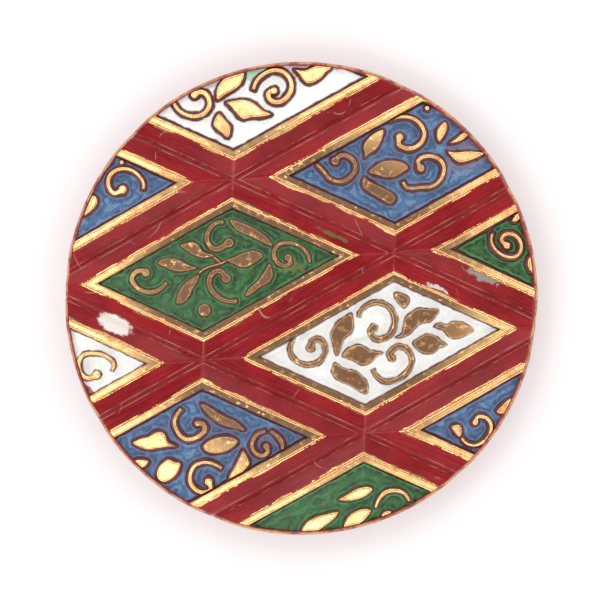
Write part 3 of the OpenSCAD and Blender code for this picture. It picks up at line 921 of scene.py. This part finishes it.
# middle, half length, half width, turn in degrees, raggedness, colour, cover
SMEARS = [
    ((-16.5, -2.3), 1.75, 0.85, -24, 0.22, (0.86, 0.8, 0.74), 0.9),
    ((15.9, 1.9), 1.7, 0.35, -26, 0.7, (0.3, 0.3, 0.27), 0.8),
    ((12.0, 0.7), 1.2, 0.4, -28, 0.5, (0.66, 0.62, 0.6), 0.85),
    ((13.6, -9.6), 2.2, 0.4, 31, 0.7, (0.3, 0.24, 0.36), 0.75),
    ((2.7, 5.6), 1.6, 0.2, -24, 0.9, (0.06, 0.2, 0.06), 0.6),
]
red_lacquer = make_lacquer()
finish_piece(coat, red_lacquer, "lacquer", "lacquer_coat")

# %% [markdown]
# ## Gilding
# Shell gold is real gold powder in glue, burnished after it dries. A fully metallic shader gives its
# colour to the reflections, which is what makes gold look like gold. Where the layer is thin or rubbed,
# brown glue shows through, so the same masks darken the colour, raise the roughness and take the metal
# away. The same mask also paints the gold brown as shade toward the middle of the cake, where flat gold
# reflects the dark ceiling.

# %% Where the gold is rubbed, and where it is painted in shade
def make_rubbed_and_shaded():
    """1 where the gold turns brown: rubbed places where brown size shows, and painted shade that grows toward
    the middle of the cake, where flat gold reflects the dark ceiling; least along the bright edges.
    """
    inputs = [PLACE, ("Inward", "Float", 0), ("Edge start", "Float", 0.1), ("Edge end", "Float", 0.2)]
    tree, given, send = new_group("rubbed_and_shaded_gold", inputs, "Mask")
    in_plan = {0: given["Place"], 1: (1.0, 1.0, 0.0)}
    flat = add(tree, "VectorMath", in_plan, operation="MULTIPLY").outputs[0]
    out = add(tree, "VectorMath", {0: flat}, operation="LENGTH").outputs["Value"]
    # painted shade: the brown grows toward the middle of the cake and fades toward the rim
    reach = span(tree, out, 12.0, 18.5, 0.92, 0.15)
    patchy = span(tree, cloud(tree, given["Place"], 0.55, 4.0, 0.7), 0.32, 0.46)
    off_edge = span(tree, given["Inward"], given["Edge start"], given["Edge end"], 0.12, 1.0)
    send(maths(tree, "MULTIPLY", maths(tree, "MULTIPLY", reach, patchy), off_edge))
    return tree


rubbed_and_shaded_gold = make_rubbed_and_shaded()


# %% Border gilding material
GOLD, WARM_GOLD, BROWN_GOLD = (0.97, 0.64, 0.28), (0.92, 0.5, 0.2), (0.5, 0.23, 0.11)
RUBBED_AND_SHADED_BROWN, SHADED_GLUE_BROWN, GREY_DUST = (0.11, 0.046, 0.024), (0.12, 0.04, 0.03), (0.8, 0.72, 0.6)


def make_border_gilding():
    material, tree, shader, place = start_material("border_gilding", specular_ior_level=0.3)
    into = measured(tree, "into_border")
    patch = cloud(tree, place, 1.8, 4.0, 0.6)
    fine = cloud(tree, place, 0.16, 3.0, 0.6)
    colour = blend(tree, span(tree, patch, 0.38, 0.62), WARM_GOLD, GOLD)
    thin = maths(tree, "MULTIPLY", span(tree, cloud(tree, place, 0.8, 4.0, 0.7), 0.48, 0.66), 0.6)
    colour = blend(tree, thin, colour, BROWN_GOLD)
    foot = use(tree, ragged_edge, place=place, distance=into, where=0.64, softness=0.06, wander=0.06,
               size=0.4)
    outward = maths(tree, "MULTIPLY", into, -1.0)
    lap = use(tree, ragged_edge, place=place, distance=outward, where=0.08, softness=0.12, wander=0.1,
              size=0.5)
    colour = blend(tree, maths(tree, "MULTIPLY", lap, 0.6), colour, BROWN_GOLD)
    # brown where the gold is rubbed, and painted shade toward the middle of the cake
    wear_and_painted_light = use(tree, rubbed_and_shaded_gold, place=place, inward=into, edge_start=0.12, edge_end=0.18)
    colour = blend(tree, wear_and_painted_light, colour, RUBBED_AND_SHADED_BROWN)
    # the foot of the border's inner flank is painted dark brown: brown size, darkened as painted shade where
    # the border meets the ground
    colour = blend(tree, foot, colour, SHADED_GLUE_BROWN)
    dust = use(tree, dust_specks, place=place, spacing=0.5, speck=0.05, share=0.12)
    colour = blend(tree, dust, colour, GREY_DUST)
    gold_lost_and_shaded = maths(tree, "MAXIMUM", maths(tree, "MAXIMUM", foot, dust), maths(tree, "MULTIPLY", wear_and_painted_light, 0.9))
    metal = maths(tree, "MULTIPLY", maths(tree, "SUBTRACT", 1.0, gold_lost_and_shaded), 0.92)
    rough = span(tree, maths(tree, "ADD", fine, maths(tree, "MULTIPLY", gold_lost_and_shaded, 0.5)), 0.35, 1.0, 0.14, 0.4)
    connect(tree, shader, colour, rough, [(fine, 0.003), (patch, 0.015)], metal)
    return material


border_gilding = make_border_gilding()


# %% Scroll gilding material
def make_scroll_gilding():
    material, tree, shader, place = start_material("scroll_gilding", specular_ior_level=0.3)
    into = measured(tree, "into_relief")
    patch = cloud(tree, place, 1.5, 4.0, 0.6)
    fine = cloud(tree, place, 0.14, 3.0, 0.6)
    colour = blend(tree, span(tree, patch, 0.38, 0.62), WARM_GOLD, GOLD)
    thin = maths(tree, "MULTIPLY", span(tree, cloud(tree, place, 0.7, 4.0, 0.7), 0.5, 0.7), 0.6)
    colour = blend(tree, thin, colour, BROWN_GOLD)
    covered = use(tree, ragged_edge, place=place, distance=into, where=0.05, softness=0.05, wander=0.03,
                  size=0.3)
    # brown where the gold is rubbed, and painted shade toward the middle of the cake
    wear_and_painted_light = use(tree, rubbed_and_shaded_gold, place=place, inward=into, edge_start=0.07, edge_end=0.13)
    colour = blend(tree, wear_and_painted_light, colour, RUBBED_AND_SHADED_BROWN)
    # the steep foot of each scroll is painted dark brown: bare size, darkened as painted shade round the
    # relief
    colour = blend(tree, covered, SHADED_GLUE_BROWN, colour)
    dust = use(tree, dust_specks, place=place, spacing=0.45, speck=0.05, share=0.12)
    colour = blend(tree, dust, colour, GREY_DUST)
    gold_lost_and_shaded = maths(tree, "MAXIMUM", dust, maths(tree, "MULTIPLY", wear_and_painted_light, 0.9))
    kept = maths(tree, "SUBTRACT", 1.0, gold_lost_and_shaded)
    metal = maths(tree, "MULTIPLY", maths(tree, "MULTIPLY", covered, 0.92), kept)
    rough = span(tree, maths(tree, "ADD", fine, maths(tree, "MULTIPLY", gold_lost_and_shaded, 0.5)), 0.35, 1.0, 0.15, 0.4)
    connect(tree, shader, colour, rough, [(fine, 0.003), (patch, 0.015)], metal)
    return material


scroll_gilding = make_scroll_gilding()


# %% Shoulder gilding material
THIN_GILT, RUBBED_RED = (0.42, 0.2, 0.09), (0.16, 0.025, 0.02)


def make_shoulder_gilding():
    material, tree, shader, place = start_material("shoulder_gilding")
    off_rim = measured(tree, "off_rim")
    rubbed = span(tree, cloud(tree, place, 1.4, 5.0, 0.7), 0.44, 0.6)
    colour = blend(tree, rubbed, THIN_GILT, RUBBED_RED)
    colour = blend(tree, span(tree, cloud(tree, place, 0.4, 3.0, 0.6), 0.5, 0.7), colour, BROWN_GOLD)
    inner = use(tree, ragged_edge, place=place, distance=off_rim, where=0.26, softness=0.1, wander=0.1,
                size=0.6)
    colour = blend(tree, inner, colour, RED)
    metal = maths(tree, "MULTIPLY", maths(tree, "SUBTRACT", 0.9, rubbed), maths(tree, "SUBTRACT", 0.5, inner))
    rough = span(tree, rubbed, 0.0, 1.0, 0.35, 0.5)
    connect(tree, shader, colour, rough, [(rubbed, -0.01), (cloud(tree, place, 0.2, 3.0, 0.6), 0.02)], metal)
    return material


finish_piece(build_shoulder(), make_shoulder_gilding(), "rim_gilt", "rim_gilding")

# %% [markdown]
# ## Pigments
# Ground mineral colours were bound with glue and brushed into the sunken panels. Malachite green dries
# with a shine, azurite blue stays dusty, and shell white is thick and chalky. One builder makes all
# three, because the way they were laid is the same: a bare strip, a raised edge and brushed colour.

# %% Pigment materials
PIGMENTS = {
    # colours of the coat, its darker troughs, its pale strokes (painted highlight) and its thin edge, then
    # where thick paint starts, how strong the painted highlight on the raised edge is, the roughness and the
    # depth of the grain
    "green": dict(main=(0.02, 0.105, 0.02), deep=(0.007, 0.036, 0.009), pale=(0.07, 0.26, 0.08),
                  thin=(0.03, 0.07, 0.02), thick=0.12, edge=1.0, rough=(0.15, 0.35), grain=0.02),
    "white": dict(main=(0.95, 0.95, 0.92), deep=(0.9, 0.9, 0.89), pale=(0.98, 0.98, 0.95),
                  thin=(0.62, 0.58, 0.53), thick=0.08, edge=0.6, rough=(0.45, 0.7), grain=0.03),
    "blue": dict(main=(0.062, 0.15, 0.3), deep=(0.045, 0.075, 0.16), pale=(0.22, 0.37, 0.57),
                 thin=(0.1, 0.06, 0.14), thick=0.18, edge=0.5, rough=(0.4, 0.65), grain=0.03),
}
BARE_RED_IN_SHADE, CHALKY_DUST = (0.13, 0.03, 0.034), (0.6, 0.6, 0.55)
# panel, place from the panel's middle, half length, half width, turn in degrees, raggedness, colour, cover
STAINS = {
    "white": [("white_upper", (0.4, 1.5), 0.9, 0.6, 30, 0.5, (0.4, 0.72, 0.52), 0.85),
              ("white_upper", (4.5, 2.1), 1.3, 0.7, 25, 0.6, (0.62, 0.52, 0.62), 0.7),
              ("white_upper", (-3.5, 0.5), 0.9, 0.4, 20, 0.6, (0.6, 0.54, 0.6), 0.6),
              ("white_left", (4.6, -1.0), 2.0, 0.5, -28, 0.5, (0.3, 0.03, 0.035), 0.9),
              ("white_centre", (-1.8, 0.2), 1.2, 0.3, 20, 0.8, (0.66, 0.68, 0.62), 0.5),
              ("white_centre", (-6.4, 1.0), 0.9, 0.3, 50, 0.8, (0.66, 0.68, 0.62), 0.5)],
    "blue": [("blue_upper", (5.6, 0.9), 3.0, 1.5, 28, 0.5, (0.26, 0.2, 0.26), 0.55),
             ("blue_lower", (6.6, 0.6), 1.8, 0.9, 28, 0.6, (0.2, 0.13, 0.22), 0.5),
             ("blue_left", (1.5, -2.5), 1.4, 0.5, 28, 0.6, (0.35, 0.5, 0.68), 0.6)],
    "green": [("green_centre", (6.6, 0.3), 1.2, 0.6, 0, 0.7, (0.2, 0.2, 0.05), 0.6),
              ("green_right", (-6.0, -0.6), 1.2, 0.4, 20, 0.7, (0.09, 0.24, 0.1), 0.6)],
}


def make_pigment(name):
    laid = PIGMENTS[name]
    material, tree, shader, place = start_material(name + "_pigment")
    margin = measured(tree, "margin")
    covered = use(tree, ragged_edge, place=place, distance=margin, where=0.0, softness=0.07,
                  wander=0.03, size=0.25)
    thick = use(tree, ragged_edge, place=place, distance=margin, where=laid["thick"], softness=0.12,
                wander=0.05, size=0.5)
    # brush ridges that follow the edge of the paint loosely: the pale on the ridges and on the raised edge is
    # painted highlight, and the colour is darker in the troughs between them
    along = maths(tree, "MULTIPLY", margin, 9.0)
    drift = maths(tree, "MULTIPLY_ADD", cloud(tree, place, 0.9, 3.0, 0.6), 14.0, along)
    stroke = span(tree, maths(tree, "SINE", drift), 0.0, 0.9)
    stroke = maths(tree, "MULTIPLY", stroke, span(tree, cloud(tree, place, 0.7, 3.0, 0.6), 0.36, 0.52))
    low = span(tree, maths(tree, "SINE", drift), -0.2, -0.9)
    low = maths(tree, "MULTIPLY", low, span(tree, cloud(tree, place, 0.9, 3.0, 0.6), 0.4, 0.56))
    edge = near(tree, margin, 0.11, 0.1)
    brush_sheen = maths(tree, "MULTIPLY", maths(tree, "MULTIPLY", stroke, thick), 0.55)
    light = maths(tree, "MAXIMUM", maths(tree, "MULTIPLY", edge, laid["edge"]), brush_sheen)
    colour = blend(tree, thick, laid["thin"], laid["main"])
    colour = blend(tree, maths(tree, "MULTIPLY", low, thick), colour, laid["deep"])
    # painted highlight: the raised edge and the brush ridges are painted paler
    colour = blend(tree, maths(tree, "MULTIPLY", light, 0.8), colour, laid["pale"])
    for panel, centre, length, width, turn, ragged, tint, cover in STAINS[name]:
        mark = use(tree, smear, place=place, centre=(*(middles[panel] + centre), FACE_LEVEL),
                   half_length=length, half_width=width, angle=math.radians(turn), ragged=ragged)
        colour = blend(tree, maths(tree, "MULTIPLY", mark, cover), colour, tint)
    # where the paint stops, the bare red shows, painted darker than the lacquer as shade at the foot of the
    # relief and border
    colour = blend(tree, covered, BARE_RED_IN_SHADE, colour)
    dust = use(tree, dust_specks, place=place, spacing=0.5, speck=0.05, share=0.15)
    colour = blend(tree, maths(tree, "MULTIPLY", dust, 0.6), colour, CHALKY_DUST)
    grain = cloud(tree, place, 0.12, 4.0, 0.65)
    rough = span(tree, grain, 0.35, 0.65, *laid["rough"])
    connect(tree, shader, colour, rough, [(grain, laid["grain"]), (light, 0.03), (covered, 0.03)])
    return material


pigments = {name: make_pigment(name) for name in PIGMENTS}

# %% Lay the panels
for name in panel_names:
    colour_name = name.split("_")[0]
    finish_piece(build_ground(name), pigments[colour_name], colour_name + "_pigment", name + "_field")
    finish_piece(build_border(name), border_gilding, "border_gilt", name + "_border")
    finish_piece(build_scrolls(name), scroll_gilding, "scroll_gilt", name + "_scrollwork")

# %% [markdown]
# ## The pressed core
# The ink itself is soot bound with animal glue. It hides under the lacquer, and it still gets its own
# finish, because a section or an exploded view would show it.

# %% Pressed ink material
SOOT, WORN_SOOT = (0.012, 0.012, 0.014), (0.03, 0.03, 0.033)


def make_ink():
    material, tree, shader, place = start_material("pressed_ink")
    grain = cloud(tree, place, 0.3, 5.0, 0.7)
    colour = blend(tree, span(tree, grain, 0.4, 0.6), SOOT, WORN_SOOT)
    connect(tree, shader, colour, span(tree, grain, 0.3, 0.7, 0.45, 0.8), [(grain, 0.05)])
    return material


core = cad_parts["ink_core"]
core.data.materials[0] = make_ink()

# %% [markdown]
# ## Floor, light and camera
# The cake lies on a white table. Gold needs something to reflect, so the room is bright near the horizon
# and dark overhead. A ring of soft boxes hangs high round the cake, dimmer on the right. Flat gold in the
# middle then reflects the dark ceiling, and gold that tilts near the rim reflects the boxes.

# %% Floor
def make_floor():
    material, tree, shader, place = start_material("white_table", roughness=0.7)
    shade = cloud(tree, place, 40.0, 3.0, 0.5)
    colour = blend(tree, shade, (0.9, 0.9, 0.9), (0.92, 0.92, 0.92))
    tree.links.new(colour, shader.inputs["Base Color"])
    mesh = bpy.data.meshes.new("table")
    mesh.from_pydata([(-3, -3, 0), (3, -3, 0), (3, 3, 0), (-3, 3, 0)], [], [(0, 1, 2, 3)])
    mesh.materials.append(material)
    table = bpy.data.objects.new("table", mesh)
    bpy.context.scene.collection.objects.link(table)


make_floor()


# %% Room light
def make_room(levels):
    """A world whose brightness depends only on height above the horizon. Levels are (sine, radiance)."""
    world = bpy.data.worlds.new("room")
    world.use_nodes = True
    bpy.context.scene.world = world
    tree = world.node_tree
    direction = tree.nodes.new("ShaderNodeTexCoord").outputs["Generated"]
    up = add(tree, "SeparateXYZ", {0: direction}).outputs[2]
    ramp = add(tree, "ValToRGB", {0: up})
    steps = ramp.color_ramp.elements
    while len(steps) < len(levels):
        steps.new(0.5)
    for step, (position, level) in zip(steps, levels):
        step.position = position
        step.color = (level, level, level, 1)
    tree.links.new(ramp.outputs[0], tree.nodes["Background"].inputs[0])


ROOM = [(0.0, 3.1), (0.36, 3.1), (0.6, 0.24), (0.85, 0.17), (1.0, 0.15)]
make_room(ROOM)


# %% Soft boxes
def soft_box(turn, tilt, size, power, reach=0.6):
    """A rectangular light, tilt degrees from straight above, facing the cake."""
    lamp = bpy.data.lights.new(f"soft_box_{turn}", "AREA")
    lamp.shape, lamp.size, lamp.size_y = "RECTANGLE", size[0], size[1]
    lamp.energy = power
    box = bpy.data.objects.new(lamp.name, lamp)
    a, t = math.radians(turn), math.radians(tilt)
    box.location = reach * Vector((math.cos(a) * math.sin(t), math.sin(a) * math.sin(t), math.cos(t)))
    box.rotation_euler = (-box.location).to_track_quat("-Z", "Y").to_euler()
    bpy.context.scene.collection.objects.link(box)


BOX_TILT, BOX_SIZE, BOX_POWER = 25, (0.18, 0.13), 0.29
RIGHT_SIDE, RIGHT_SHARE = (0, 45, 315), 0.45
for turn in range(0, 360, 45):
    share = RIGHT_SHARE if turn in RIGHT_SIDE else 1
    soft_box(turn, BOX_TILT, BOX_SIZE, BOX_POWER * share)
print(len(bpy.data.lights), "soft boxes")

# %% Camera
CAMERA_OFF, CAMERA_RISE = (-0.000115, -0.00016), 0.1459


def make_camera():
    lens = bpy.data.cameras.new("camera")
    lens.lens, lens.sensor_width, lens.clip_start = 100, 36, 0.01
    camera = bpy.data.objects.new("camera", lens)
    camera.location = (*CAMERA_OFF, cad_box[1][2] + CAMERA_RISE)
    bpy.context.scene.collection.objects.link(camera)
    bpy.context.scene.camera = camera


make_camera()
bpy.context.scene.view_settings.view_transform = "Standard"
print("camera above the crown, mm:", round(CAMERA_RISE / MM, 1))
